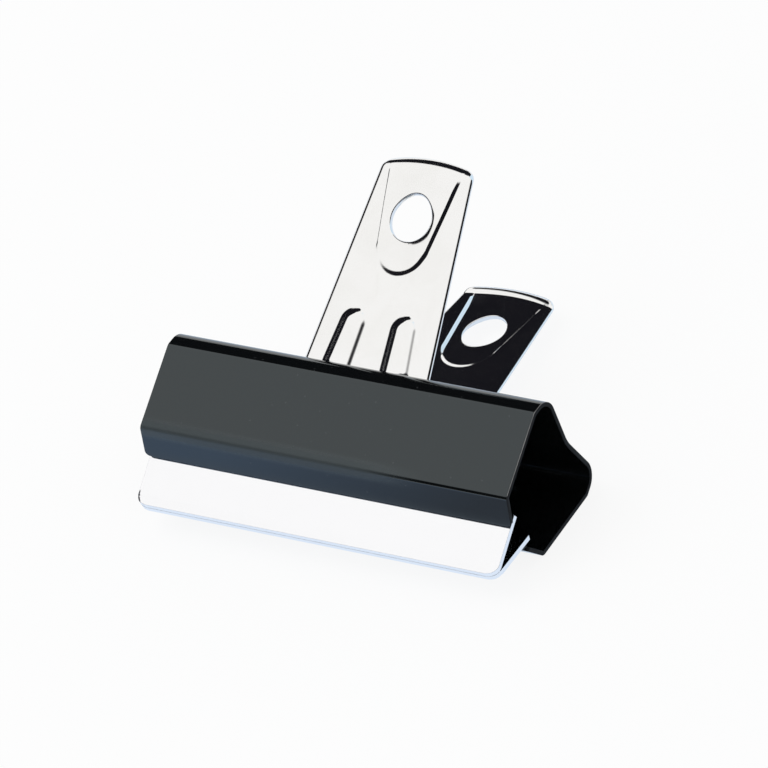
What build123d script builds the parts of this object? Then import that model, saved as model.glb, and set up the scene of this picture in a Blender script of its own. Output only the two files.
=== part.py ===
from build123d import *
import os
from math import acos, atan2, cos, degrees, hypot, radians, sin, tan

os.makedirs("parts", exist_ok=True)

# Bulldog clip. A folded spring-steel body squeezes two flat stamped levers together at their jaws.
# Each lever runs up through a slot in the body's back and ends in a finger plate.
# The clip is drawn upright: X along its length, Y from front to rear, Z from the jaw line to the
# finger ends. At the end it is laid down on its rear side, the way it rests on a table.

# Driving sizes, in millimetres and degrees
clip_length = 57.0
body_sheet = 0.6
spine_height = 23.1
spine_half_depth = 10.6
valley_depth = 1.8
knee_height = 7.95
knee_half_depth = 6.65
lip_slope = 25.5
lever_sheet = 0.7
lever_lean = 16.9
finger_length = 29.24
finger_base_width = 19.4
finger_tip_width = 14.2
hole_diameter = 6.2

# Gaps between the pieces
jaw_gap = 0.06
pinch_gap = 0.08
slot_gap = 0.3
rib_gap = 0.35

# Outside radii of the folds in the body sheet
corner_radius = 2.7
knee_radius = 1.1
valley_radius = 5.0
lip_corner_radius = 0.9

# Details pressed and cut into a lever
jaw_land = 1.2
jaw_setback = 0.4
jaw_corner_radius = 1.6
shoulder_margin = 1.8
shoulder_rise = 3.4
shoulder_radius = 3.0
finger_bow = 1.0
tip_corner_radius = 0.8
curl_radius = 1.5
curl_angle = 52.0
hole_from_tip = 8.54
pad_width = 1.26 * hole_diameter
pad_top_width = 1.65 * hole_diameter
pad_depth = 0.45
pad_below_hole = 7.8
pad_from_tip = 2.7
rib_width = 3.8
rib_length = 6.8
rib_depth = 0.75
rib_spacing = 9.0
press_slope = 38.0

# Worked-out sizes
half_length = clip_length / 2
jaw_half_length = half_length - jaw_setback
lean = radians(lever_lean)
lip_fall = tan(radians(lip_slope))
panel_slope = atan2(spine_half_depth - knee_half_depth, spine_height - knee_height)
inner_face = jaw_gap / 2
lip_top = knee_height + body_sheet / cos(radians(lip_slope))
pinch_face = inner_face + (lever_sheet + pinch_gap) / cos(lean) - jaw_land * tan(lean)
lip_height = (lip_top - lip_fall * (knee_half_depth - pinch_face)) / (1 - lip_fall * tan(lean))
lip_depth = pinch_face + lip_height * tan(lean)
spine_fall = valley_depth / spine_half_depth
outer_face = inner_face + lever_sheet / cos(lean) - jaw_land * tan(lean)
back_height = (spine_height - spine_fall * (spine_half_depth - outer_face)) / (1 - spine_fall * tan(lean))
spine_reach = (back_height - jaw_land) / cos(lean)
plate_length = spine_reach + finger_length
hole_reach = plate_length - hole_from_tip
shoulder_reach = (lip_height - jaw_land + shoulder_margin) / cos(lean)
side_taper = degrees(atan2((finger_base_width - finger_tip_width) / 2, finger_length))
press_growth = lever_sheet * (1 / cos(radians(press_slope)) - tan(radians(press_slope)))


def lever_frame():
    """Frame of the rear lever: x along the clip, y up the plate, z outward from its inner face."""
    outward = (0, cos(lean), -sin(lean))
    return Plane(origin=(0, inner_face, jaw_land), x_dir=(-1, 0, 0), z_dir=outward)


def folded_sheet(path, thickness, length, keep=min):
    """Sheet beside a folded line, on the side where its section is smaller or larger, along the clip."""
    sides = [path.offset_2d(thickness, side=side, closed=True) for side in (Side.LEFT, Side.RIGHT)]
    section = keep((Face(outline) for outline in sides), key=lambda face: face.area)
    return extrude(section, amount=length / 2, dir=(1, 0, 0), both=True)


def spring_line():
    """Outside line of the body: lower lips, knees, sides and a back with a shallow valley."""
    slope = radians(lip_slope)
    lip_end = (-lip_depth - body_sheet * sin(slope), lip_height - body_sheet * cos(slope))
    front = [lip_end, (-knee_half_depth, knee_height), (-spine_half_depth, spine_height)]
    rear = [(-depth, height) for depth, height in reversed(front)]
    folds = [*front, (0, spine_height - valley_depth), *rear]
    radii = [knee_radius, corner_radius, valley_radius, corner_radius, knee_radius]
    line = Wire.make_polygon([(0, depth, height) for depth, height in folds], close=False)
    for (depth, height), radius in zip(folds[1:-1], radii):
        fold = line.vertices().sort_by_distance((0, depth, height))[0]
        line = line.fillet_2d(radius, [fold])
    return line


def lever_slot():
    """Slot in the body's back that the rear lever swings in."""
    width = finger_base_width + 2 * slot_gap
    depth = lever_sheet + 2 * slot_gap
    middle = Pos(0, spine_reach, lever_sheet / 2)
    return lever_frame().location * middle * Box(width, 6, depth)


def lip_corners(body):
    """Short edges across the sheet at the four free corners of the lower lips."""
    short = body.edges().filter_by(lambda edge: edge.length < 1.1 * body_sheet)
    low = short.filter_by(lambda edge: edge.center().Z < lip_height)
    return low.filter_by(lambda edge: abs(abs(edge.center().X) - half_length) < 0.01)


def spring_body():
    """One folded sheet with a slot near each side of its back."""
    body = folded_sheet(spring_line(), body_sheet, clip_length)
    body = body - lever_slot() - lever_slot().rotate(Axis.Z, 180)
    return fillet(lip_corners(body), lip_corner_radius)


def lever_line():
    """Inner line of a lever in its own frame: upright jaw land, flat plate, finger end curled inward."""
    turn = radians(curl_angle)
    radius = curl_radius - lever_sheet
    curl_start = plate_length - curl_radius * sin(turn)
    land_end = (0, -jaw_land * cos(lean), jaw_land * sin(lean))
    flat = Polyline(land_end, (0, 0, 0), (0, curl_start, 0))
    middle = (0, curl_start + radius * sin(turn / 2), -radius * (1 - cos(turn / 2)))
    end = (0, curl_start + radius * sin(turn), -radius * (1 - cos(turn)))
    return Wire([*flat.edges(), ThreePointArc((0, curl_start, 0), middle, end)])


def lever_outline():
    """Outline of a lever: a jaw strip nearly as long as the clip, sloped shoulders, neck and finger."""
    foot = -jaw_land
    strip = Pos(0, (foot + shoulder_reach) / 2) * Rectangle(2 * jaw_half_length, shoulder_reach - foot)
    strip = fillet(strip.vertices().group_by(Axis.Y)[0], jaw_corner_radius)
    neck = finger_base_width / 2
    spread = neck + shoulder_rise + shoulder_radius
    shoulders = make_face(
        Polyline(
            (-jaw_half_length + jaw_corner_radius, shoulder_reach),
            (-spread, shoulder_reach + shoulder_rise),
            (spread, shoulder_reach + shoulder_rise),
            (jaw_half_length - jaw_corner_radius, shoulder_reach),
            close=True,
        )
    )
    tip = finger_tip_width / 2
    tip_reach = plate_length - finger_bow
    sides = Polyline((-tip, tip_reach), (-neck, spine_reach), (neck, spine_reach), (tip, tip_reach))
    end = ThreePointArc((tip, tip_reach), (0, plate_length), (-tip, tip_reach))
    finger = make_face([*sides.edges(), end])
    tips = finger.vertices().filter_by(lambda v: abs(v.Y - tip_reach) < 0.01)
    finger = fillet(tips, tip_corner_radius)
    bottom = shoulder_reach
    stem = Pos(0, (bottom + spine_reach) / 2) * Rectangle(finger_base_width, spine_reach - bottom)
    outline = strip + shoulders + stem + finger
    inner = outline.vertices().filter_by(lambda v: abs(v.Y - shoulder_reach - shoulder_rise) < 0.01)
    necks = inner.filter_by(lambda v: abs(abs(v.X) - neck) < 0.01)
    return fillet(necks, shoulder_radius)


def tongue(flat_width, round_width, length, growth):
    """Pressed outline, grown all round: a straight end at zero and a round end above it."""
    radius = round_width / 2 + growth
    half_flat = flat_width / 2 + growth
    centre = length - round_width / 2
    rise = centre + growth
    turn = atan2(half_flat, rise) + acos(radius / hypot(half_flat, rise))
    touch = (radius * sin(turn), centre - radius * cos(turn))
    sides = Polyline(
        (-half_flat, -growth), (half_flat, -growth), touch, (-touch[0], touch[1]), close=True
    )
    return make_face(sides) + Pos(0, centre) * Circle(radius)


def pressing(flat_width, round_width, length, depth):
    """Raised outer side and hollow inner side of one pressed shape, both with sloped walls."""
    raised = tongue(flat_width, round_width, length, press_growth)
    hollow = tongue(flat_width, round_width, length, 0)
    boss = extrude(Pos(0, 0, lever_sheet) * raised, amount=depth, dir=(0, 0, 1), taper=press_slope)
    pocket = extrude(hollow, amount=depth, dir=(0, 0, 1), taper=press_slope)
    return boss, pocket


def lever():
    """One stamped lever in its own frame."""
    blank = extrude(lever_outline(), amount=4 * lever_sheet, both=True)
    plate = folded_sheet(lever_line(), lever_sheet, 2 * clip_length, keep=max) & blank
    pad_length = hole_from_tip - pad_from_tip + pad_below_hole
    boss, pocket = pressing(pad_top_width, pad_width, pad_length, pad_depth)
    place = Pos(0, plate_length - pad_from_tip, 0) * Rot(0, 0, 180)
    plate = plate + place * boss - place * pocket
    rib_foot = spine_reach + rib_gap + press_growth + (lever_sheet + rib_depth) * tan(lean)
    for side in (-1, 1):
        boss, pocket = pressing(rib_width, rib_width, rib_length, rib_depth)
        place = Pos(side * rib_spacing / 2, rib_foot, 0) * Rot(0, 0, side * side_taper)
        plate = plate + place * boss - place * pocket
    bore = Pos(0, hole_reach, 0) * Cylinder(hole_diameter / 2, 8 * lever_sheet)
    return plate - bore


def laid_down(piece):
    """Turn a piece onto the clip's rear side, with that side on the table."""
    lift = knee_half_depth * cos(panel_slope) - knee_height * sin(panel_slope)
    return Pos(0, 0, lift) * piece.rotate(Axis.X, degrees(panel_slope) - 90)


rear = lever_frame().location * lever()
pieces = {
    "spring_body": laid_down(spring_body()),
    "front_lever": laid_down(rear.rotate(Axis.Z, 180)),
    "rear_lever": laid_down(rear),
}

# The origin is on the table, under the middle of the whole clip
boxes = [piece.bounding_box() for piece in pieces.values()]
middle = (min(box.min.Y for box in boxes) + max(box.max.Y for box in boxes)) / 2
for name, piece in pieces.items():
    export_step(Pos(0, -middle, 0) * piece, f"parts/{name}.step")
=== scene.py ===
from math import atan2, cos, hypot, pi, radians, sin, sqrt, tan

import bmesh
import bpy
from mathutils import Matrix, Vector


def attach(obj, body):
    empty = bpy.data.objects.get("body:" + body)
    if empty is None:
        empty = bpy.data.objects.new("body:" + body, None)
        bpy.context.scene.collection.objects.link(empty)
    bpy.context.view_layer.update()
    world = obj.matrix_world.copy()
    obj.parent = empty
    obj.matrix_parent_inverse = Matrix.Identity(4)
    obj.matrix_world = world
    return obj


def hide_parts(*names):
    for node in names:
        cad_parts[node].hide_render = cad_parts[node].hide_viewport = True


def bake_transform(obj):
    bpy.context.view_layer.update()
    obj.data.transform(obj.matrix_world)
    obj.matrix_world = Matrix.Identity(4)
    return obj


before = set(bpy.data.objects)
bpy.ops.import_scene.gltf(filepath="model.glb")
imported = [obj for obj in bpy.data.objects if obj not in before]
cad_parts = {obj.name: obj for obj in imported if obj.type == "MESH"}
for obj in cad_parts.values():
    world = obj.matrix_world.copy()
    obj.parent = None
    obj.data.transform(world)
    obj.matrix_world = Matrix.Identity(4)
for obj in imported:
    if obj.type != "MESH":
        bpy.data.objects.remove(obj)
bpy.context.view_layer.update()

# Spring body. One strip of spring steel is folded into a back with a shallow valley, two sides and
# two lower lips, slotted for the levers and stoved in black lacquer. It is its own spring, whose
# sides bend outwards with the levers; here it is only cut into two halves that meet in the valley
# of the back.
mm = 0.001
touching = 0.01 * mm
clip_length = 57.0 * mm
half_length = clip_length / 2
body_sheet = 0.6 * mm
valley_height, valley_radius = 21.3 * mm, 5.0 * mm
corner_depth, corner_height, corner_radius = 10.6 * mm, 23.1 * mm, 2.7 * mm
brow_drop, brow_turn, brow_radius = 3.95 * mm, radians(30), 0.9 * mm
knee_depth, knee_height, knee_radius = 6.65 * mm, 7.95 * mm, 0.8 * mm
lip_depth, lip_height, lip_corner = 2.754 * mm, 6.092 * mm, 0.9 * mm
bend_lines = [2.2 * mm, 3.4 * mm, 4.4 * mm, 5.2 * mm, 5.9 * mm]
cut_edge_round = 0.2 * mm
panel_slope = atan2(corner_depth - knee_depth, corner_height - knee_height)
table_middle = 26.2356 * mm
table_lift = knee_depth * cos(panel_slope) - knee_height * sin(panel_slope)


def hold(piece):
    """Make a piece the only selected object and the active one."""
    bpy.ops.object.select_all(action="DESELECT")
    piece.select_set(True)
    bpy.context.view_layer.objects.active = piece


def shape_edges(piece):
    """Go into edit mode with nothing selected, to work on edges."""
    hold(piece)
    bpy.ops.object.mode_set(mode="EDIT")
    bpy.ops.mesh.select_mode(type="EDGE")
    bpy.ops.mesh.select_all(action="DESELECT")


def pick_edges(piece, wanted):
    """Select the edges of the piece in edit mode whose two ends are both wanted."""
    bpy.ops.mesh.select_all(action="DESELECT")
    mesh = bmesh.from_edit_mesh(piece.data)
    for edge in mesh.edges:
        if all(wanted(end.co) for end in edge.verts):
            edge.select_set(True)
    bmesh.update_edit_mesh(piece.data)


def finish_with(piece, kind, **settings):
    """Add a modifier with its settings and apply it."""
    hold(piece)
    modifier = piece.modifiers.new(kind.lower(), kind)
    for name, value in settings.items():
        setattr(modifier, name, value)
    bpy.ops.object.modifier_apply(modifier=modifier.name)


def round_cut_edges(piece, width):
    """Break the sharp edges that shearing leaves."""
    shape_edges(piece)
    bpy.ops.mesh.edges_select_sharp(sharpness=radians(55))
    bpy.ops.mesh.bevel(offset=width, segments=2, affect="EDGES", clamp_overlap=True)
    bpy.ops.object.mode_set(mode="OBJECT")


def shade_sheet(piece):
    """Shade a sheet smooth but for its corners."""
    hold(piece)
    bpy.ops.object.shade_smooth_by_angle(angle=radians(50))
    finish_with(piece, "WEIGHTED_NORMAL", keep_sharp=True)


def copy_of(piece, name):
    """Copy a piece and its mesh under a new name."""
    made = piece.copy()
    made.data = piece.data.copy()
    made.name = name
    bpy.context.collection.objects.link(made)
    return made


def lay_down(piece):
    """Turn an upright piece onto the clip's rear side, the way it lies on the table."""
    hold(piece)
    turn = Matrix.Rotation(panel_slope - pi / 2, 4, "X")
    shift = Matrix.Translation((0, -table_middle, table_lift))
    piece.matrix_world = shift @ turn @ piece.matrix_world
    bpy.ops.object.transform_apply(location=True, rotation=True, scale=True)


corner = Vector((corner_depth, corner_height))
up_side = (corner - Vector((knee_depth, knee_height))).normalized()
along_back = (Vector((0, valley_height)) - corner).normalized()
corner_turn = up_side.angle(along_back)
brow = corner - brow_drop * up_side
crest = corner + brow_drop * sin(brow_turn) / sin(corner_turn - brow_turn) * along_back
rear_folds = [tuple(crest), tuple(brow), (knee_depth, knee_height), (lip_depth, lip_height)]
folds = [(-depth, height) for depth, height in reversed(rear_folds)]
folds += [(0.0, valley_height), *rear_folds]
front_radii, front_steps = [knee_radius, brow_radius, corner_radius], [8, 6, 14]
fold_radii = [*front_radii, valley_radius, *reversed(front_radii)]
fold_steps = [*front_steps, 9, *reversed(front_steps)]


def at_fold(fold):
    """Test for a point that lies on one fold line."""
    depth, height = fold
    return lambda place: hypot(place.y - depth, place.z - height) < touching


first, second = folds[0], folds[1]
lip_width = hypot(second[0] - first[0], second[1] - first[1])
bpy.ops.object.select_all(action="DESELECT")
bpy.ops.mesh.primitive_plane_add(
    size=1,
    location=(0, (first[0] + second[0]) / 2, (first[1] + second[1]) / 2),
    rotation=(atan2(second[1] - first[1], second[0] - first[0]), 0, 0),
)
strip = bpy.context.object
strip.scale = (clip_length, lip_width, 1)
bpy.ops.object.transform_apply(location=True, rotation=True, scale=True)
shape_edges(strip)
for here, there in zip(folds[1:], folds[2:]):
    pick_edges(strip, at_fold(here))
    step = (0, there[0] - here[0], there[1] - here[1])
    bpy.ops.mesh.extrude_region_move(TRANSFORM_OT_translate={"value": step})
for before, fold, after, radius, steps in zip(folds, folds[1:], folds[2:], fold_radii, fold_steps):
    into = Vector(fold) - Vector(before)
    out = Vector(after) - Vector(fold)
    pick_edges(strip, at_fold(fold))
    bpy.ops.mesh.bevel(offset=radius * tan(into.angle(out) / 2), segments=steps, affect="EDGES")
for depth in bend_lines:
    for side in (-1, 1):
        bpy.ops.mesh.select_all(action="SELECT")
        bpy.ops.mesh.bisect(plane_co=(0, side * depth, 0), plane_no=(0, 1, 0))
bpy.ops.mesh.select_mode(type="VERT")
bpy.ops.mesh.select_all(action="DESELECT")
strip_mesh = bmesh.from_edit_mesh(strip.data)
for vertex in strip_mesh.verts:
    on_lip = abs(abs(vertex.co.y) - lip_depth) < touching and vertex.co.z < knee_height
    vertex.select_set(on_lip and abs(vertex.co.x) > half_length - touching)
bmesh.update_edit_mesh(strip.data)
bpy.ops.mesh.bevel(offset=lip_corner, segments=6, affect="VERTICES")
bpy.ops.mesh.select_all(action="SELECT")
bpy.ops.mesh.normals_make_consistent(inside=False)
bpy.ops.object.mode_set(mode="OBJECT")
finish_with(strip, "SOLIDIFY", thickness=body_sheet, offset=-1, use_even_offset=True)

# The slots in the back are punched where the levers pass through it.
lever_lean = radians(16.9)
lever_sheet = 0.7 * mm
jaw_land = 1.2 * mm
inner_face = 0.03 * mm
spine_reach = 22.2925 * mm
finger_base_width = 19.4 * mm
slot_gap, punch_height = 0.3 * mm, 6 * mm


def lever_place(reach, outward):
    """Upright depth and height of a point of the rear lever, from its reach and height off it."""
    depth = inner_face + reach * sin(lever_lean) + outward * cos(lever_lean)
    return depth, jaw_land + reach * cos(lever_lean) - outward * sin(lever_lean)


for side in (-1, 1):
    depth, height = lever_place(spine_reach, lever_sheet / 2)
    bpy.ops.object.select_all(action="DESELECT")
    bpy.ops.mesh.primitive_cube_add(
        size=1, location=(0, side * depth, height), rotation=(-side * lever_lean, 0, 0)
    )
    punch = bpy.context.object
    punch.scale = (finger_base_width + 2 * slot_gap, lever_sheet + 2 * slot_gap, punch_height)
    bpy.ops.object.transform_apply(location=True, rotation=True, scale=True)
    finish_with(strip, "BOOLEAN", operation="DIFFERENCE", solver="EXACT", object=punch)
    bpy.data.objects.remove(punch)
round_cut_edges(strip, cut_edge_round)
shade_sheet(strip)

spring_sides = {}
for name, side in (("front_spring_side", -1), ("rear_spring_side", 1)):
    half = copy_of(strip, name)
    shape_edges(half)
    bpy.ops.mesh.select_all(action="SELECT")
    bpy.ops.mesh.bisect(plane_co=(0, 0, 0), plane_no=(0, side, 0), use_fill=True, clear_inner=True)
    bpy.ops.object.mode_set(mode="OBJECT")
    spring_sides[name] = half
bpy.data.objects.remove(strip)


def row_point(depth, height):
    """Point of the upright clip's middle section, on the lying clip."""
    along = depth * sin(panel_slope) + height * cos(panel_slope) - table_middle
    return (0, along, height * sin(panel_slope) - depth * cos(panel_slope) + table_lift)


bend_start = (4.6 * mm, 22.4 * mm)
bend_end = (10.2 * mm, 18.5 * mm)
levers_and_sides = (("front_lever", -1), ("rear_lever", 1))
for half, (lever, side) in zip(spring_sides.values(), levers_and_sides):
    lay_down(half)
    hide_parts("spring_body")
    start = row_point(side * bend_start[0], bend_start[1])
    end = row_point(side * bend_end[0], bend_end[1])
    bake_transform(half)


def add_node(tree, kind, links=(), **settings):
    """Add a shader node, set its properties, and link or set the inputs that are given."""
    made = tree.nodes.new("ShaderNode" + kind)
    for name, value in settings.items():
        setattr(made, name, value)
    for name, source in links:
        if hasattr(source, "is_output"):
            tree.links.new(source, made.inputs[name])
        else:
            made.inputs[name].default_value = source
    return made


def new_finish(name):
    """New material with a Principled shader; returns the material, its tree and the shader."""
    finish = bpy.data.materials.new(name)
    finish.use_nodes = True
    return finish, finish.node_tree, finish.node_tree.nodes["Principled BSDF"]


def calc(tree, operation, first, second):
    """Result of one sum with two values."""
    return add_node(tree, "Math", [(0, first), (1, second)], operation=operation).outputs[0]


def ramp(tree, value, low, high, shape="LINEAR"):
    """Share from 0 to 1 while a value goes from low to high."""
    limits = [("Value", value), ("From Min", low), ("From Max", high)]
    return add_node(tree, "MapRange", limits, interpolation_type=shape).outputs["Result"]


def between(tree, share, low, high):
    """Stretch a share from 0 to 1 onto a range."""
    limits = [("Value", share), ("To Min", low), ("To Max", high)]
    return add_node(tree, "MapRange", limits).outputs["Result"]


def tint(tree, mask, plain, marked):
    """Run from plain to marked with a mask; each is a colour or another node's output."""
    ends = [(*end, 1) if isinstance(end, tuple) else end for end in (plain, marked)]
    mix = add_node(
        tree, "Mix", [("Factor", mask), (6, ends[0]), (7, ends[1])], data_type="RGBA"
    )
    return mix.outputs[2]


def set_inputs(tree, shader, **inputs):
    """Link or set the inputs of a shader, named with underscores for spaces."""
    for name, source in inputs.items():
        target = shader.inputs[name.replace("_", " ")]
        if hasattr(source, "is_output"):
            tree.links.new(source, target)
        else:
            target.default_value = source


# Smudges from fingers, which lie on every piece of the clip, and specks of dust for the lacquer.
handling = bpy.data.node_groups.new("handling_marks", "ShaderNodeTree")
for name, way, kind in (
    ("Place", "INPUT", "Vector"),
    ("Smudge Scale", "INPUT", "Float"),
    ("Smudge", "OUTPUT", "Float"),
    ("Dust", "OUTPUT", "Float"),
):
    handling.interface.new_socket(name, in_out=way, socket_type="NodeSocket" + kind)
marks_in = handling.nodes.new("NodeGroupInput")
marks_out = handling.nodes.new("NodeGroupOutput")
smears = add_node(
    handling,
    "TexNoise",
    [
        ("Vector", marks_in.outputs["Place"]),
        ("Scale", marks_in.outputs["Smudge Scale"]),
        ("Detail", 4.0),
        ("Roughness", 0.6),
        ("Distortion", 0.6),
    ],
)
smudge_mask = ramp(handling, smears.outputs["Fac"], 0.38, 0.68, "SMOOTHSTEP")
specks = add_node(
    handling, "TexVoronoi", [("Vector", marks_in.outputs["Place"]), ("Scale", 620.0)], feature="F1"
)
dust_mask = ramp(handling, specks.outputs["Distance"], 0.09, 0.03)
handling.links.new(smudge_mask, marks_out.inputs["Smudge"])
handling.links.new(dust_mask, marks_out.inputs["Dust"])


def add_marks(tree, smudge_scale):
    """Place the handling marks in a material; returns its object coordinates and the marks."""
    place = add_node(tree, "TexCoord").outputs["Object"]
    marks = tree.nodes.new("ShaderNodeGroup")
    marks.node_tree = handling
    tree.links.new(place, marks.inputs["Place"])
    marks.inputs["Smudge Scale"].default_value = smudge_scale
    return place, marks.outputs["Smudge"], marks.outputs["Dust"]


# The lacquer is rubbed dull along the front knee, but for its right end. There its colour is also
# painted a lighter, bluish black: a painted sheen along the fold.
lacquer, tree, shader = new_finish("black_lacquer")
place, smudge, dust = add_marks(tree, 160.0)
# The last of these colours is a painted sheen: a lighter, bluish black for the rubbed part of the
# knee.
black, dusty, rubbed_black_and_sheen = (0.0032, 0.0038, 0.0042), (0.03, 0.032, 0.034), (0.026, 0.033, 0.036)
knee_line = row_point(-knee_depth, knee_height)
axes = add_node(tree, "SeparateXYZ", [("Vector", place)])
section = add_node(tree, "CombineXYZ", [("Y", axes.outputs["Y"]), ("Z", axes.outputs["Z"])])
from_knee = add_node(
    tree, "VectorMath", [(0, section.outputs["Vector"]), (1, knee_line)], operation="DISTANCE"
)
near_knee = ramp(tree, from_knee.outputs["Value"], 1.8 * mm, 0.5 * mm, "SMOOTHSTEP")
rubbed_and_sheen_part = ramp(tree, axes.outputs["X"], 17.0 * mm, 4.0 * mm, "SMOOTHSTEP")
rubbed_and_sheen = calc(tree, "MULTIPLY", near_knee, rubbed_and_sheen_part)
gloss = between(tree, smudge, 0.08, 0.12)
dulled_gloss = add_node(
    tree, "Mix", [("Factor", rubbed_and_sheen), ("A", gloss), ("B", 0.5)], data_type="FLOAT"
)
peel = add_node(tree, "TexNoise", [("Vector", place), ("Scale", 750.0), ("Detail", 2.0)])
peel_bump = add_node(
    tree, "Bump", [("Height", peel.outputs["Fac"]), ("Strength", 0.5), ("Distance", 0.01 * mm)]
)
# Where the knee is rubbed, the base colour turns to the painted sheen.
set_inputs(
    tree,
    shader,
    Base_Color=tint(tree, rubbed_and_sheen, tint(tree, dust, black, dusty), rubbed_black_and_sheen),
    Roughness=dulled_gloss.outputs["Result"],
    Specular_IOR_Level=0.8,
    Specular_Tint=(0.86, 0.97, 1.0, 1),
    Normal=peel_bump.outputs["Normal"],
)

# A paler grey for the outer corner of one cut end of the front.
pale_edge, tree, shader = new_finish("pale_cut_edge")
smudge = add_marks(tree, 240.0)[1]
set_inputs(
    tree,
    shader,
    Base_Color=tint(tree, smudge, (0.12, 0.114, 0.114), (0.45, 0.43, 0.42)),
    Roughness=between(tree, smudge, 0.4, 0.5),
)

dull_edge, tree, shader = new_finish("dull_cut_edge")
smudge = add_marks(tree, 240.0)[1]
set_inputs(
    tree,
    shader,
    Base_Color=tint(tree, smudge, black, (0.008, 0.008, 0.009)),
    Roughness=between(tree, smudge, 0.55, 0.75),
    Specular_IOR_Level=0.15,
)

# The cut ends are dull, and a paler grey along the outer corner of one end of the front.
pale_from, pale_to = -19.0 * mm, -6.5 * mm
leaning, square_on = 0.2, 0.98
for name, half in spring_sides.items():
    half.data.materials.clear()
    for finish in (lacquer, dull_edge, pale_edge):
        half.data.materials.append(finish)
    for face in half.data.polygons:
        face.material_index = 0
        if abs(face.center.x) > half_length - cut_edge_round and abs(face.normal.x) > leaning:
            outer_corner = leaning < face.normal.x < square_on and face.normal.z > leaning
            pale_corner = outer_corner and pale_from < face.center.y < pale_to
            face.material_index = 2 if pale_corner and name == "front_spring_side" else 1

# Levers. Each is one stamping of nickel-plated steel: a jaw strip nearly as long as the clip, a
# sloped neck inside the body, and a finger plate with a hole, a raised finger pad, two ribs and an
# end curled inwards. It hangs in its slot by the ribs, and the lips of the body pinch it.
finger_tip_width = 14.2 * mm
plate_length = 51.5325 * mm
finger_bow, bow_run = 1.0 * mm, 6 * mm
tip_corner = 1.0 * mm
jaw_half = half_length - 0.4 * mm
jaw_corner = 1.6 * mm
curl_bends = [(0.2 * mm, radians(25)), (1.2 * mm, radians(35))]
hole_radius = 3.1 * mm
hole_reach = 42.9925 * mm
pad_foot = hole_reach - 7.8 * mm
pad_top = 50.0 * mm
pad_half, pad_top_half = 3.95 * mm, 5.7 * mm
pad_rise, pad_walls = 0.42 * mm, {-1: 0.125 * mm, 1: 0.33 * mm}
pad_foot_run, pad_foot_wall, pad_foot_lead = 1.5 * mm, 0.83 * mm, 0.2 * mm
pad_shallow, pad_tilt, pad_run_out = 0.12, 7.2 * mm, 3.2 * mm
rib_half, rib_top_half = 2.15 * mm, 1.9 * mm
rib_length, rib_rise = 8.0 * mm, 0.42 * mm
rib_spacing = 9.0 * mm
rib_foot = spine_reach - 0.2 * mm
rib_lead, rib_walls, rib_tilt = 0.3 * mm, (0.9 * mm, 1.6 * mm), 1.4 * mm
rib_foot_lead, rib_foot_wall = 0.1 * mm, 0.3 * mm
outer_roll, inner_roll, roll_width = 0.45 * mm, 0.15 * mm, 0.85 * mm
roll_run = 2 * mm
hole_roll, hole_wear, hole_roll_share = 0.2 * mm, 1.0 * mm, 0.3
worn_towards = Vector((0.8, -0.6))
lever_edge_round = 0.08 * mm

curl_rise, curl_width, turned = 0.0, 0.0, 0.0
for radius, turn in curl_bends:
    curl_rise += (radius + lever_sheet) * (sin(turned + turn) - sin(turned))
    curl_width += radius * turn
    turned += turn
curl_start = plate_length - finger_bow - curl_rise
tip_reach = curl_start + curl_width
neck_half = finger_base_width / 2
tip_half = finger_tip_width / 2


def finger_half(reach):
    """Half width of the tapered finger plate."""
    along = (reach - spine_reach) / (tip_reach - spine_reach)
    return neck_half + (tip_half - neck_half) * along


def corner_cut(radius, rise):
    """How far a rounded corner stands back from its side, at a rise above its end."""
    return radius - sqrt(max(0.0, radius**2 - (radius - rise) ** 2))


def plate_half(reach):
    """Half width of the finger plate, with its rounded end corners."""
    return finger_half(reach) - corner_cut(tip_corner, min(tip_corner, tip_reach - reach))


# The plate is drawn out row by row, from the jaw edge to the finger end.
columns = 144
jaw_steps = [0.0, 0.125, 0.25, 0.4, 0.55, 0.7, 0.85, 1.0]
tip_steps = [1.0, 0.91, 0.82, 0.775, 0.735, 0.7, 0.6, 0.5, 0.4, 0.3, 0.2, 0.125, 0.06, 0.0]
shoulder_line = [
    (1.2, 28.1), (4.2, 28.1), (7.2, 28.1), (7.5, 27.6), (8.0, 25.9), (8.9, 22.8), (9.8, 19.9),
    (10.5, 17.2), (10.8, 15.2), (11.1, 13.3), (11.6, 11.8), (12.3, 10.7), (13.1, 10.0), (14.0, 9.7),
    (15.2, 9.7), (16.6, 9.7), (18.0, 9.7), (19.4, 9.7), (20.8, 9.7),
]
fine_step, fine_rows, finger_step = 0.06 * mm, 4, 0.22 * mm
plate_rows = []
for step in jaw_steps:
    rise = step * jaw_corner
    plate_rows.append((rise - jaw_land, jaw_half - corner_cut(jaw_corner, rise)))
plate_rows += [(reach * mm, half * mm) for reach, half in shoulder_line]
for step in range(-fine_rows, fine_rows + 1):
    reach = rib_foot + step * fine_step
    plate_rows.append((reach, min(neck_half, finger_half(reach))))
finger_start = rib_foot + (fine_rows + 1) * fine_step
corner_start = tip_reach - tip_corner
finger_rows = int((corner_start - finger_start) / finger_step)
for step in range(finger_rows):
    reach = finger_start + (corner_start - finger_start) * step / finger_rows
    plate_rows.append((reach, finger_half(reach)))
for step in tip_steps:
    reach = tip_reach - step * tip_corner
    plate_rows.append((reach, plate_half(reach)))

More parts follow.
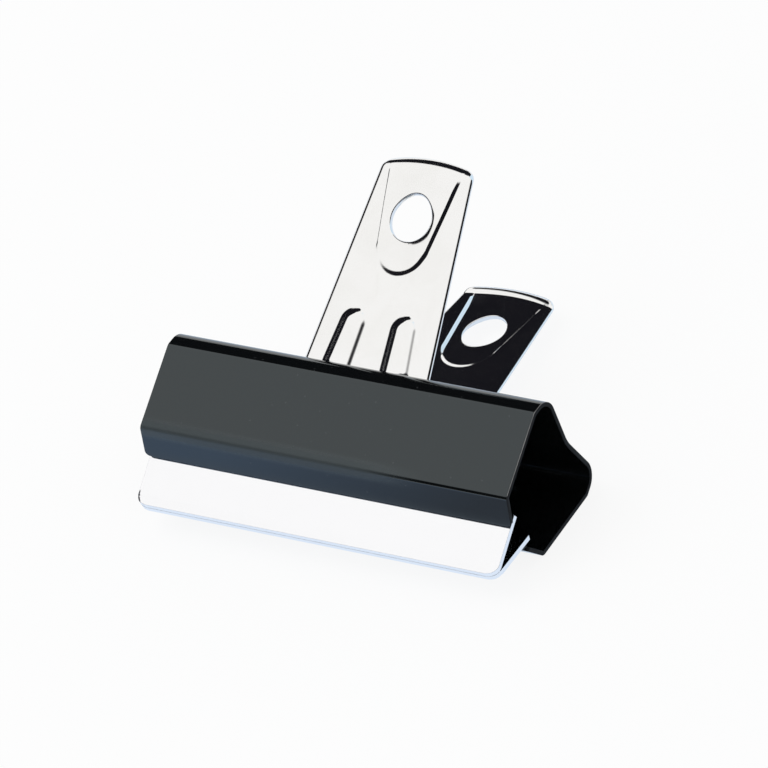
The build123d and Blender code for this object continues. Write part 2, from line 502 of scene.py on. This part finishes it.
bpy.ops.object.select_all(action="DESELECT")
bpy.ops.mesh.primitive_grid_add(x_subdivisions=columns, y_subdivisions=1, size=1)
plate = bpy.context.object
(first_reach, first_half), (second_reach, second_half) = plate_rows[:2]
plate.scale = (2 * first_half, second_reach - first_reach, 1)
plate.location = (0, (first_reach + second_reach) / 2, 0)
bpy.ops.object.transform_apply(location=True, rotation=True, scale=True)
shape_edges(plate)
pick_edges(plate, lambda place: place.y > second_reach - touching)
bpy.ops.transform.resize(
    value=(second_half / first_half, 1, 1), center_override=(0, second_reach, 0)
)
for (reach, half), (next_reach, next_half) in zip(plate_rows[1:], plate_rows[2:]):
    step = (0, next_reach - reach, 0)
    bpy.ops.mesh.extrude_region_move(TRANSFORM_OT_translate={"value": step})
    bpy.ops.transform.resize(value=(next_half / half, 1, 1), center_override=(0, next_reach, 0))

# The pad's straight sides are scored first, along the foot and the brow of their steep walls.
pad_round = pad_foot + pad_half
pad_spread = (pad_top_half - pad_half) / (pad_top - pad_round)
pad_middle = 3 * mm
bpy.ops.mesh.select_mode(type="EDGE")
for side, wall in pad_walls.items():
    for inset in (-wall / 2, wall / 2):
        bpy.ops.mesh.select_all(action="DESELECT")
        plate_mesh = bmesh.from_edit_mesh(plate.data)
        for face in plate_mesh.faces:
            centre = face.calc_center_median()
            face.select_set(side * centre.x > pad_middle and pad_round < centre.y < pad_top)
        bmesh.update_edit_mesh(plate.data)
        start = side * (pad_half - inset * sqrt(1 + pad_spread**2))
        bpy.ops.mesh.bisect(
            plane_co=(start, pad_round, 0), plane_no=(side, -pad_spread, 0), threshold=0.001 * mm
        )
        bpy.ops.mesh.mark_sharp()

# The hole is punched: a disc of cells comes out, and its edge is drawn in, ring by ring.
hole_centre = Vector((0, hole_reach, 0))
hole_rings = [0.3 * mm, 0.18 * mm, 0.08 * mm, 0.0]
disc = hole_radius + 0.5 * mm
disc_edge = disc + 0.3 * mm
bpy.ops.mesh.select_mode(type="FACE")
bpy.ops.mesh.select_all(action="DESELECT")
plate_mesh = bmesh.from_edit_mesh(plate.data)
for face in plate_mesh.faces:
    face.select_set((face.calc_center_median() - hole_centre).length < disc)
bmesh.update_edit_mesh(plate.data)
bpy.ops.mesh.delete(type="FACE")
bpy.ops.mesh.select_mode(type="EDGE")
plate_mesh = bmesh.from_edit_mesh(plate.data)
for edge in plate_mesh.edges:
    near_hole = all((end.co - hole_centre).length < disc_edge for end in edge.verts)
    edge.select_set(edge.is_boundary and near_hole)
bmesh.update_edit_mesh(plate.data)
for ring in hole_rings:
    bpy.ops.mesh.extrude_region_move(TRANSFORM_OT_translate={"value": (0, 0, 0)})
    plate_mesh = bmesh.from_edit_mesh(plate.data)
    for vertex in plate_mesh.verts:
        if vertex.select:
            outwards = (vertex.co - hole_centre).normalized()
            vertex.co = hole_centre + (hole_radius + ring) * outwards
    bmesh.update_edit_mesh(plate.data)
bpy.ops.mesh.select_all(action="SELECT")
bpy.ops.mesh.normals_make_consistent(inside=False)
bpy.ops.object.mode_set(mode="OBJECT")
if plate.data.polygons[0].normal.z < 0:
    shape_edges(plate)
    bpy.ops.mesh.select_all(action="SELECT")
    bpy.ops.mesh.flip_normals()
    bpy.ops.object.mode_set(mode="OBJECT")


def clamp(value, low=0.0):
    """Keep a share between its low end and 1."""
    return min(1.0, max(low, value))


def soft_step(value):
    """Rise from 0 to 1 with soft ends."""
    value = clamp(value)
    return value * value * (3 - 2 * value)


def tongue_depth(x, y, flat_half, round_half, length):
    """Distance inside a pressed outline: straight end at zero, round end at its length."""
    centre = length - round_half
    lean = (flat_half - round_half) / centre
    if y > centre:
        return round_half - hypot(x, y - centre)
    return (round_half + (centre - y) * lean - abs(x)) / sqrt(1 + lean * lean)


def press_out(piece, name, rise, weight):
    """Press the sheet outwards, as far as the weight of each point says."""
    group = piece.vertex_groups.new(name=name)
    for vertex in piece.data.vertices:
        share = weight(vertex.co)
        if share > 0:
            group.add([vertex.index], share, "REPLACE")
    finish_with(piece, "DISPLACE", direction="Z", mid_level=0, strength=rise, vertex_group=name)
    piece.vertex_groups.clear()


def pad_weight(place):
    """The finger pad: deeper on one side, with crisp sides, a softer round foot and a run-out."""
    along = pad_top - place.y
    inside = tongue_depth(place.x, along, pad_top_half, pad_half, pad_top - pad_foot)
    foot = soft_step((pad_round - place.y) / pad_foot_run)
    side_wall = pad_walls[1 if place.x > 0 else -1]
    wall = side_wall + foot * (pad_foot_wall - side_wall)
    lead = side_wall / 2 + foot * (pad_foot_lead - side_wall / 2)
    climb = clamp((inside + lead) / wall)
    climb += foot * (soft_step(climb) - climb)
    deepness = clamp(0.5 + place.x / pad_tilt, low=pad_shallow)
    return climb * deepness * soft_step(along / pad_run_out)


def rib_weight(side):
    """One rib beside the middle of the finger, along the finger's edge, with a steep foot."""
    taper = atan2(neck_half - tip_half, tip_reach - spine_reach)
    steep, gentle = rib_walls

    def weight(place):
        x = place.x - side * rib_spacing / 2
        y = place.y - rib_foot
        across = x * cos(taper) + side * y * sin(taper)
        along = y * cos(taper) - side * x * sin(taper)
        inside = tongue_depth(across, along, rib_half, rib_top_half, rib_length)
        wall = steep + (gentle - steep) * soft_step(0.5 - across / rib_tilt)
        foot = soft_step((along + rib_foot_lead) / rib_foot_wall)
        return soft_step((inside + rib_lead) / wall) * foot

    return weight


def rolled(distance, width):
    """Share of a rolled edge's drop at a distance from that edge."""
    near = 1 - clamp(distance / width)
    return 1 - sqrt(1 - near * near)


def edge_drop(x, y):
    """Share by which a face falls away near the finger's rolled edge or the hole's worn one."""
    above_start = y - spine_reach + roll_run
    if above_start < 0:
        return 0.0
    drop = rolled(plate_half(y) - abs(x), roll_width) * soft_step(above_start / roll_run)
    from_hole = Vector((x, y)) - hole_centre.xy
    wear = max(0.0, from_hole.normalized().dot(worn_towards)) ** 2
    hole_share = hole_roll_share + (1 - hole_roll_share) * wear
    hole_width = hole_roll + hole_wear * wear
    return max(drop, rolled(from_hole.length - hole_radius, hole_width) * hole_share)


finish_with(plate, "SOLIDIFY", thickness=lever_sheet, offset=1)
for vertex in plate.data.vertices:
    roll = -outer_roll if vertex.co.z > lever_sheet / 2 else inner_roll
    vertex.co.z += roll * edge_drop(vertex.co.x, vertex.co.y)
round_cut_edges(plate, lever_edge_round)
press_out(plate, "pad", pad_rise, pad_weight)
for side in (-1, 1):
    press_out(plate, "rib", rib_rise, rib_weight(side))


def bow(place):
    """How far the finger's end is bowed out at a point."""
    rise = soft_step((place.y - tip_reach + bow_run) / bow_run)
    return rise * finger_bow * (1 - (place.x / tip_half) ** 2)


# The finger end is curled inwards and bowed, and the jaw land is bent upright.
for vertex in plate.data.vertices:
    bowed = bow(vertex.co)
    past = vertex.co.y - curl_start
    if past > 0:
        raised, turned = vertex.co.z, 0.0
        vertex.co.y = curl_start
        for radius, turn in curl_bends:
            here = min(turn, past / radius)
            vertex.co.y += (radius + raised) * (sin(turned + here) - sin(turned))
            vertex.co.z += (radius + raised) * (cos(turned + here) - cos(turned))
            past -= here * radius
            turned += here
    vertex.co.y += bowed
    before, raised = -vertex.co.y, vertex.co.z
    if before > 0:
        vertex.co.y = raised * sin(lever_lean) - before * cos(lever_lean)
        vertex.co.z = raised * cos(lever_lean) + before * sin(lever_lean)
shade_sheet(plate)

stand = Matrix.Identity(4)
stand.col[0][:3] = (-1, 0, 0)
stand.col[1][:3] = (0, sin(lever_lean), cos(lever_lean))
stand.col[2][:3] = (0, cos(lever_lean), -sin(lever_lean))
stand.col[3][:3] = (0, inner_face, jaw_land)
lever_plates = {}
for name, turn in (("front_lever_plate", pi), ("rear_lever_plate", 0)):
    lever = copy_of(plate, name)
    lever.matrix_world = Matrix.Rotation(turn, 4, "Z") @ stand
    lay_down(lever)
    lever_plates[name] = lever
bpy.data.objects.remove(plate)
for lever, node in zip(lever_plates.values(), ("front_lever", "rear_lever")):
    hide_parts(node)
    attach(lever, node)

# The plating is brightest on the jaws and a little yellowed where fingers press it.
nickel, tree, shader = new_finish("nickel_plate")
place, smudge = add_marks(tree, 190.0)[:2]
jaw_bright = (0.95, 0.948, 0.957)
finger_bright, finger_dull = (0.9, 0.893, 0.878), (0.88, 0.872, 0.853)
axes = add_node(tree, "SeparateXYZ", [("Vector", place)])
handled = ramp(tree, axes.outputs["Y"], -14.0 * mm, -4.0 * mm)
grain_place = add_node(tree, "Mapping", [("Vector", place), ("Scale", (90.0, 2600.0, 2600.0))])
grain = add_node(
    tree, "TexNoise", [("Vector", grain_place.outputs["Vector"]), ("Scale", 1.0), ("Detail", 3.0)]
)
grain_bump = add_node(
    tree, "Bump", [("Height", grain.outputs["Fac"]), ("Strength", 0.35), ("Distance", 0.004 * mm)]
)
set_inputs(
    tree,
    shader,
    Base_Color=tint(tree, handled, jaw_bright, tint(tree, smudge, finger_bright, finger_dull)),
    Metallic=1.0,
    Roughness=between(tree, smudge, 0.09, 0.12),
    Normal=grain_bump.outputs["Normal"],
)
for lever in lever_plates.values():
    lever.data.materials.clear()
    lever.data.materials.append(nickel)

# Studio. A white table under an even white sky, one large soft lamp above, and a dark screen round
# about, open at the back on the right, for the metal and the lacquer to reflect. In reflections the
# table is bluish, and in front of the clip it is darker towards the right.
bpy.ops.object.select_all(action="DESELECT")
bpy.ops.mesh.primitive_plane_add(size=6.0, location=(0, 0, -0.0002))
table = bpy.context.object
table.name = "table"


def seen_directly(tree):
    """1 for what the camera sees, also in a mirror or through glass, and 0 for stray light."""
    ray = add_node(tree, "LightPath")
    seen = calc(tree, "MAXIMUM", ray.outputs["Is Camera Ray"], ray.outputs["Is Glossy Ray"])
    return calc(tree, "MAXIMUM", seen, ray.outputs["Is Transmission Ray"])


white_table, tree, shader = new_finish("white_table")
table_colour, paper = (0.9, 0.91, 0.92, 1), (1.0, 1.0, 1.0)
mirrored, mirrored_left, mirrored_right = (0.74, 0.85, 1.0), (0.53, 0.74, 1.1), (0.26, 0.31, 0.42)
set_inputs(tree, shader, Base_Color=table_colour, Roughness=0.9, Specular_IOR_Level=0.0)
place = add_node(tree, "TexCoord").outputs["Object"]
axes = add_node(tree, "SeparateXYZ", [("Vector", place)])
to_right = ramp(tree, axes.outputs["X"], -34.0 * mm, 8.0 * mm)
in_front = ramp(tree, axes.outputs["Y"], -36.0 * mm, -41.0 * mm)
shaded = tint(tree, to_right, mirrored_left, mirrored_right)
glossy = add_node(tree, "LightPath").outputs["Is Glossy Ray"]
glow_colour = tint(tree, glossy, paper, tint(tree, in_front, mirrored, shaded))
glow = add_node(tree, "Emission", [("Color", glow_colour), ("Strength", 1.0)])
glow_share = calc(tree, "MULTIPLY", seen_directly(tree), 0.88)
blend = add_node(
    tree,
    "MixShader",
    [("Fac", glow_share), (1, shader.outputs["BSDF"]), (2, glow.outputs["Emission"])],
)
tree.links.new(blend.outputs["Shader"], tree.nodes["Material Output"].inputs["Surface"])
table.data.materials.append(white_table)

screen_distance, screen_height = 0.5, 1.2
bpy.ops.object.select_all(action="DESELECT")
bpy.ops.mesh.primitive_cylinder_add(
    vertices=96,
    radius=screen_distance,
    depth=screen_height,
    end_fill_type="NOTHING",
    location=(0, 0, screen_height / 2),
)
screen = bpy.context.object
screen.name = "dark_screen"
bpy.ops.object.transform_apply(location=True, rotation=True, scale=True)

# Round the screen, by direction in degrees from X: where its dark part ends, how soft that end is,
# and where it begins, as angles above the table. Where it ends before it begins, it is bright.
dark_part = [
    (-180, 50, 6, 4), (-165, 45, 6, 8), (-150, 43, 6, 8), (-105, 43, 6, 8), (-95, 50, 10, 4),
    (-60, 66, 16, 4), (28, 66, 16, 4), (31, 2, 1, 80), (84, 2, 1, 80), (88, 56, 4, 18),
    (151, 56, 4, 18), (156, 50, 3, 18), (165, 50, 3, 18),
]


def stops(tree, value, colours):
    """Colour that changes with a value from 0 to 1, from (value, colour) pairs."""
    band = add_node(tree, "ValToRGB", [("Fac", value)])
    marks = band.color_ramp.elements
    while len(marks) < len(colours):
        marks.new(0.5)
    for mark, (position, colour) in zip(marks, colours):
        mark.position = position
        mark.color = (*colour, 1)
    return band.outputs["Color"]


painted, tree, shader = new_finish("painted_screen")
daylight, cloth = (0.68, 0.85, 1.0), (0.008, 0.008, 0.011)
place = add_node(tree, "TexCoord").outputs["Object"]
axes = add_node(tree, "SeparateXYZ", [("Vector", place)])
direction = calc(tree, "ARCTAN2", axes.outputs["Y"], axes.outputs["X"])
around = ramp(tree, direction, -pi, pi)
elevation = calc(tree, "ARCTAN2", axes.outputs["Z"], screen_distance)
above = calc(tree, "DIVIDE", elevation, pi / 2)
limit_stops = [
    ((turn + 180) / 360, (end / 90, soft / 90, begin / 90)) for turn, end, soft, begin in dark_part
]
limits = add_node(tree, "SeparateColor", [("Color", stops(tree, around, limit_stops))])
end, soft, begin = (limits.outputs[name] for name in ("Red", "Green", "Blue"))
under_end = ramp(tree, above, end, calc(tree, "SUBTRACT", end, soft), "SMOOTHSTEP")
over_begin = calc(tree, "GREATER_THAN", above, begin)
dark = calc(tree, "MULTIPLY", under_end, over_begin)
pale_stops = [(0.57, paper), (0.585, daylight), (0.735, daylight), (0.75, paper)]
paint = tint(tree, dark, stops(tree, around, pale_stops), cloth)
shine = add_node(tree, "Emission", [("Color", paint), ("Strength", 1.0)])
tree.links.new(shine.outputs["Emission"], tree.nodes["Material Output"].inputs["Surface"])
tree.nodes.remove(shader)
screen.data.materials.append(painted)
screen.visible_camera = False
screen.visible_diffuse = False
screen.visible_shadow = False

sky = bpy.data.worlds.new("white_studio")
bpy.context.scene.world = sky
sky.use_nodes = True
tree = sky.node_tree
tree.nodes.clear()
fill = add_node(tree, "Background", [("Color", (1, 1, 1, 1)), ("Strength", 0.65)])
white = add_node(tree, "Background", [("Color", (1, 1, 1, 1)), ("Strength", 1.0)])
blend = add_node(
    tree,
    "MixShader",
    [
        ("Fac", seen_directly(tree)),
        (1, fill.outputs["Background"]),
        (2, white.outputs["Background"]),
    ],
)
add_node(tree, "OutputWorld", [("Surface", blend.outputs["Shader"])])

softbox_place = Vector((-0.35, -0.25, 0.95))
softbox = bpy.data.lights.new("softbox", "AREA")
softbox.size = 0.8
softbox.energy = 4.0
softbox_lamp = bpy.data.objects.new("softbox", softbox)
softbox_lamp.location = softbox_place
softbox_lamp.rotation_euler = softbox_place.to_track_quat("Z", "Y").to_euler()
softbox_lamp.visible_glossy = False
bpy.context.collection.objects.link(softbox_lamp)

lens = bpy.data.cameras.new("photo_view")
lens.sensor_width = 36.0
lens.lens = 329.35
camera = bpy.data.objects.new("photo_view", lens)
camera.location = (0.48843, -0.5335, 0.57089)
camera.rotation_euler = (radians(50.667), radians(14.807), radians(30.858))
bpy.context.collection.objects.link(camera)
bpy.context.scene.camera = camera
bpy.context.scene.view_settings.view_transform = "Standard"
